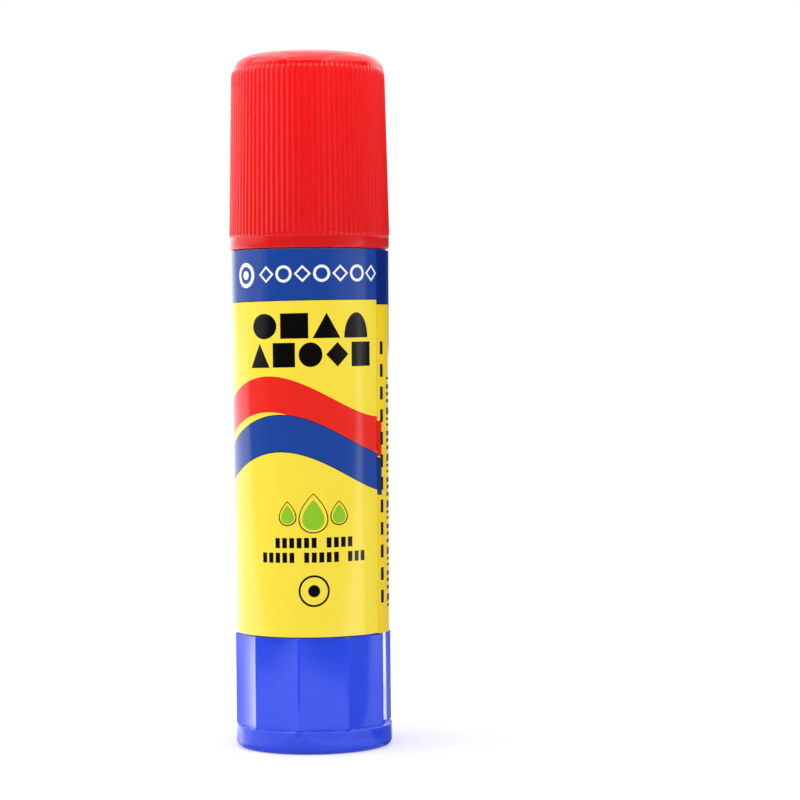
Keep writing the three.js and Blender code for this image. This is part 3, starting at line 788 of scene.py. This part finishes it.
faces, face_inks, used = [], [], {}
for triangle, origins in zip(flat_triangles, from_faces):
    if 0 not in origins:
        continue
    for point in triangle:
        used.setdefault(point, len(used))
    faces.append(tuple(used[point] for point in triangle))
    face_inks.append(prints[max(origins)][0])
kept = sorted(used, key=used.get)
points = [film_place(flat_points[i], outside) for outside in (True, False) for i in kept]
backs = [tuple(point + len(kept) for point in reversed(face)) for face in faces]
edge_uses = Counter(frozenset(edge) for face in faces for edge in edges(face))
rims, rim_inks = [], []
for face, ink in zip(faces, face_inks):
    for start, end in edges(face):
        if edge_uses[frozenset((start, end))] == 1:
            rims.append((end, start, start + len(kept), end + len(kept)))
            rim_inks.append(ink)
label_mesh = bpy.data.meshes.new("label")
label_mesh.from_pydata(points, [], faces + backs + rims)
label_mesh.shade_smooth()
straight = []
for facet in label_mesh.polygons:
    for point in facet.vertices:
        outwards = (label_mesh.vertices[point].co * Vector((1, 1, 0))).normalized()
        if facet.index < len(faces):
            straight.append(outwards)
        elif facet.index < 2 * len(faces):
            straight.append(-outwards)
        else:
            straight.append(facet.normal.copy())
label_mesh.normals_split_custom_set(straight)
doubled = label_mesh.attributes.new("doubled", "FLOAT", "FACE")
for face, flat in zip(faces, doubled.data):
    middle = sum(flat_points[kept[point]].x for point in face) / 3
    flat.value = 1 if middle < along(SEAM_DEG + LAP_DEG) else 0


def film(name, colour):
    """Printed film under a clear glossy face, which is a little wavy where it lies on the barrel. The ink
    is deeper where the film lies double."""
    material, tree, skin = plastic(name)
    place = wired(tree, "TexCoord").outputs["Object"]
    cloud = wired(tree, "TexNoise", {"Vector": place, "Scale": 150, "Detail": 3})
    fine = wired(tree, "TexNoise", {"Vector": place, "Scale": 12000, "Detail": 1})
    dim = [part * 0.96 for part in colour[:3]] + [1]
    twice = [part**DOUBLE_INK for part in colour[:3]] + [1]
    tone = blend(tree, cloud.outputs["Fac"], dim, colour)
    lap = wired(tree, "Attribute", attribute_name="doubled").outputs["Fac"]
    dots = blend(tree, 0.06, blend(tree, lap, tone, twice), fine.outputs["Color"], "SOFT_LIGHT")
    tree.links.new(dots, skin.inputs["Base Color"])
    scuffs = wired(tree, "TexNoise", {"Vector": place, "Scale": 1400, "Detail": 5, "Roughness": 0.8})
    rough = ramp(tree, scuffs.outputs["Fac"], 0.35, 0.75, 0.1, 0.2)
    tree.links.new(rough, skin.inputs["Roughness"])
    waves = wired(tree, "TexNoise", {"Vector": place, "Scale": 420, "Detail": 2})
    bump = wired(tree, "Bump", {"Height": waves.outputs["Fac"], "Strength": 0.25, "Distance": FILM_RELIEF})
    tree.links.new(bump.outputs[0], skin.inputs["Normal"])
    return material


for ink, colour in INKS.items():
    label_mesh.materials.append(film("film_" + ink, srgb(*colour)))
for facet, ink in zip(label_mesh.polygons, face_inks + ["back"] * len(backs) + rim_inks):
    facet.material_index = list(INKS).index(ink)
label = bpy.data.objects.new("label_skin", label_mesh)
bpy.context.scene.collection.objects.link(label)
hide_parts("label")
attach(label, "barrel")

# The glue carrier: a white moulded cup with the nut in its middle. Four keys on its skirt slide in the
# barrel's keyways, and four fins inside the cup keep the glue from turning.
CARRIER_R = 7.75
KEY_R = 8.1
KEY_WIDTH = 2
SKIRT_HEIGHT = 5
SKIRT_IN_R = 6.95
CUP_FLOOR = 1.6
CUP_IN_R = 7.15
NUT_R = 4.2
NUT_SPARE = 0.2
FIN_REACH = 5.95
FIN_WIDTH = 0.8
FIN_HEIGHT = 5
FIN_DEG = 45
KEY_STEP = 0.05
carrier_low, carrier_high = (corner.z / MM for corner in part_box("glue_carrier"))
skirt_top = carrier_low + SKIRT_HEIGHT
cup_floor = skirt_top + CUP_FLOOR
fin_top = cup_floor + FIN_HEIGHT
key = keyed(CARRIER_R, KEY_R, KEY_WIDTH)
fin = keyed(CUP_IN_R, FIN_REACH, FIN_WIDTH, FIN_DEG)
nut_steps = round((cup_floor - carrier_low) / THREAD_STEP)
nut_heights = [cup_floor + (carrier_low - cup_floor) * i / nut_steps for i in range(nut_steps + 1)]
nut_core_r = CORE_R + NUT_SPARE
nut_crest_r = THREAD_R + NUT_SPARE
carrier_outline = [
    (NUT_R, carrier_low),
    (NUT_R, skirt_top - FILLET),
    *corner_round(NUT_R, skirt_top, FILLET, 180, 90, 3),
    (SKIRT_IN_R, skirt_top),
    (SKIRT_IN_R, carrier_low),
    (offset(key, -FINE_EDGE), carrier_low),
    (key, carrier_low + FINE_EDGE),
    (key, skirt_top),
    (CARRIER_R, skirt_top + KEY_STEP),
    *corner_round(CARRIER_R, carrier_high, FINE_EDGE, 0, 90, 3),
    *corner_round(CUP_IN_R, carrier_high, FINE_EDGE, 90, 180, 3),
    (CUP_IN_R, fin_top + KEY_STEP),
    (fin, fin_top),
    (fin, cup_floor),
    *[
        (thread(nut_core_r, nut_crest_r, height, NUT_SPARE, low=-math.inf, high=math.inf), height)
        for height in nut_heights
    ],
]
carrier_angles = with_edges(with_edges(evenly(120), KEY_WIDTH, KEY_R), FIN_WIDTH, CUP_IN_R, FIN_DEG)
carrier = lofted("glue_carrier", "carrier", carrier_outline, carrier_angles, white_plastic)

# The glue: a white waxy stick cast round the screw and into the carrier's cup. Its top set a little
# hollow, with a soft edge, as it shrank while it cooled.
GLUE_R = 7.1
GLUE_BORE_R = 2.95
GLUE_BORE_COVER = 3.2
GLUE_BORE_CHAMFER = 0.4
GLUE_EDGE = 0.6
GLUE_HOLLOW = 0.4
GLUE_HOLLOW_START = 0.05
GLUE_HOLLOW_END = 0.5
GLUE_SLOT_IN_R = 5.8
GLUE_SLOT_WIDTH = 1.1
GLUE_SLOT_HEIGHT = 5.15
GLUE_SLOT_STEP = 0.02
WAX_WHITE = (244, 242, 232)
glue_low, glue_high = (corner.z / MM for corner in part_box("glue"))
bore_top = glue_high - GLUE_BORE_COVER
slotted = keyed(GLUE_R, GLUE_SLOT_IN_R, GLUE_SLOT_WIDTH, FIN_DEG)
hollow_top = []
for i in range(6):
    depth = GLUE_HOLLOW_START + GLUE_HOLLOW * math.sin(math.pi / 2 * i / 5) ** 2
    hollow_top.append((GLUE_R * (0.9 - 0.15 * i), glue_high - depth))
glue_outline = [
    (0, bore_top),
    (GLUE_BORE_R - GLUE_BORE_CHAMFER, bore_top),
    (GLUE_BORE_R, bore_top - GLUE_BORE_CHAMFER),
    (GLUE_BORE_R, glue_low),
    (slotted, glue_low),
    (slotted, glue_low + GLUE_SLOT_HEIGHT),
    (GLUE_R, glue_low + GLUE_SLOT_HEIGHT + GLUE_SLOT_STEP),
    *corner_round(GLUE_R, glue_high, GLUE_EDGE, 0, 90, 8),
    *hollow_top,
    (0, glue_high - GLUE_HOLLOW_END),
]
glue_angles = with_edges(evenly(144), GLUE_SLOT_WIDTH, GLUE_R, FIN_DEG)
wax = moulded("solid_glue", srgb(*WAX_WHITE), 0.5, mottle=0.02, grain=0.8, subsurface=0.8)
glue = lofted("glue", "carrier", glue_outline, glue_angles, wax)

# The cap: one glossy red moulding with fine round ribs for the fingers, a plain rim and a rounded
# shoulder. It is pushed over the barrel's neck.
RIM_R = 9.95
RIM_HEIGHT = 1.65
RIM_ROUND = 0.06
RIB_COUNT = 88
RIB_SAMPLES = 12
RIB_FOOT_R = 9.91
RIB_DRAFT = 0.4
RIB_DEPTH = 0.12
RIB_START_INSET = 0.02
RIB_START_DEPTH = 0.05
RIB_SOFT_RISE = 0.12
RIB_FULL_RISE = 0.3
SHOULDER_HIGH = 1.95
SHOULDER_WIDE = 2.18
SHOULDER_SET_IN = 0.07
SHOULDER_FULLNESS = 0.91
CAP_BORE_R = 8.95
CAP_MOUTH_R = 9.1
CAP_MOUTH_HEIGHT = 6.1
CAP_TOP = 1.2
SEAL_POCKET_R = 8.8
SEAL_POCKET_DEPTH = 0.8
SEAL_BEAD_R = 8.5
SEAL_BEAD_RISE = 0.3
CAP_RED = (244, 17, 20)
# The ribs' upper ends are given by the share of their depth that is gone and the height over the shoulder's
# foot, and the moulding mark on the cap's top by radius and depth.
RIB_RUN_OUT = ((0, -1), (0.05, -0.75), (0.15, -0.5), (0.33, -0.27), (0.58, -0.1), (0.82, 0.02), (0.97, 0.12))
GATE_MARK = ((1.2, 0.03), (0.9, 0.08), (0, 0.1))
cap_low, cap_high = (corner.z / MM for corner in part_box("cap"))
rib_top = cap_high - SHOULDER_HIGH
rim_top = cap_low + RIM_HEIGHT
cap_ceiling = cap_high - CAP_TOP
pocket_z = cap_ceiling - SEAL_POCKET_DEPTH


def ribbed(wall_r, depth):
    """The radius rule of the ribbed wall, with round ribs and slightly narrower valleys."""

    def radius(degrees):
        across = (degrees * RIB_COUNT / 360) % 1
        return wall_r + depth * math.sin(math.pi * across) ** 1.6

    return radius


def wall(z):
    """The wall's radius between the ribs, which falls towards the top so that the cap leaves its mould."""
    return RIB_FOOT_R - RIB_DRAFT * (z - rim_top) / (rib_top - rim_top)


shoulder = [
    (
        wall(rib_top) - SHOULDER_SET_IN - SHOULDER_WIDE * (1 - abs(math.cos(angle)) ** SHOULDER_FULLNESS),
        rib_top + SHOULDER_HIGH * math.sin(angle) ** SHOULDER_FULLNESS,
    )
    for angle in (math.pi / 2 * i / 24 for i in range(25))
]
cap_outline = [
    (0, cap_ceiling),
    (SEAL_POCKET_R, cap_ceiling),
    (SEAL_POCKET_R, pocket_z),
    (SEAL_BEAD_R, pocket_z - SEAL_BEAD_RISE),
    (CAP_BORE_R, pocket_z - 2 * SEAL_BEAD_RISE),
    (CAP_MOUTH_R, cap_low + CAP_MOUTH_HEIGHT),
    (CAP_MOUTH_R, cap_low + FINE_EDGE),
    (CAP_MOUTH_R + FINE_EDGE, cap_low),
    *corner_round(RIM_R, cap_low, SOFT_EDGE, -90, 0),
    *rounded(RIM_R - RIM_ROUND, rim_top - 3 * RIM_ROUND, RIM_ROUND, 0, 60, 3),
    (ribbed(wall(rim_top) - RIB_START_INSET, RIB_START_DEPTH), rim_top),
    (ribbed(wall(rim_top + RIB_SOFT_RISE), RIB_DEPTH * 0.7), rim_top + RIB_SOFT_RISE),
    (ribbed(wall(rim_top + RIB_FULL_RISE), RIB_DEPTH), rim_top + RIB_FULL_RISE),
    *[
        (ribbed(wall(rib_top) - SHOULDER_SET_IN * gone, RIB_DEPTH * (1 - gone)), rib_top + rise)
        for gone, rise in RIB_RUN_OUT
    ],
    *shoulder[3:],
    *[(radius, cap_high - depth) for radius, depth in GATE_MARK],
]
# Painted shade and light: the cap grows darker towards its foot and lighter towards its top.
painted_light_by_height = (cap_low * MM, cap_high * MM, 0.8, 1.08)
# Painted shade: the plain rim is darker than the ribs.
painted_rim_shade = ((rim_top - 0.2) * MM, (rim_top + 0.4) * MM, 0.92, 1)
polished_top = ((rib_top - 0.1) * MM, (rib_top + 0.15) * MM, 1, 0.4)
red_plastic = moulded(
    "red_plastic", srgb(*CAP_RED), 0.22, mottle=0.03, grain=0.12, subsurface=0.15,
    painted_shades=[painted_light_by_height, painted_rim_shade], polish=[polished_top],
)
cap = lofted("cap", "cap", cap_outline, evenly(RIB_COUNT * RIB_SAMPLES), red_plastic)

# The cap's seal: a soft white disc snapped in under the cap's top. Its lip plugs the barrel's neck, so
# that the glue doesn't dry.
SEAL_R = 8.65
SEAL_FLANGE = 0.8
LIP_R = 7.75
LIP_IN_R = 7.05
LIP_ROUND = 0.35
SEAL_WHITE = (246, 246, 243)
seal_low, seal_high = (corner.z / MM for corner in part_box("cap_seal"))
flange_z = seal_high - SEAL_FLANGE
seal_outline = [
    (0, flange_z),
    (LIP_IN_R - FILLET, flange_z),
    *corner_round(LIP_IN_R, flange_z, FILLET, 90, 0, 4),
    (LIP_IN_R, seal_low + 0.2),
    *rounded((LIP_IN_R + LIP_R) / 2, seal_low + LIP_ROUND, LIP_ROUND, 180, 360, 8),
    (LIP_R, flange_z - SOFT_EDGE),
    *corner_round(LIP_R, flange_z, SOFT_EDGE, 180, 90, 4),
    *corner_round(SEAL_R, flange_z, FINE_EDGE, -90, 0, 3),
    *corner_round(SEAL_R, seal_high, FINE_EDGE, 0, 90, 3),
    (0, seal_high),
]
soft_plastic = moulded("seal_plastic", srgb(*SEAL_WHITE), 0.5, mottle=0.01, grain=0.3, subsurface=0.4)
cap_seal = lofted("cap_seal", "cap", seal_outline, evenly(144), soft_plastic)
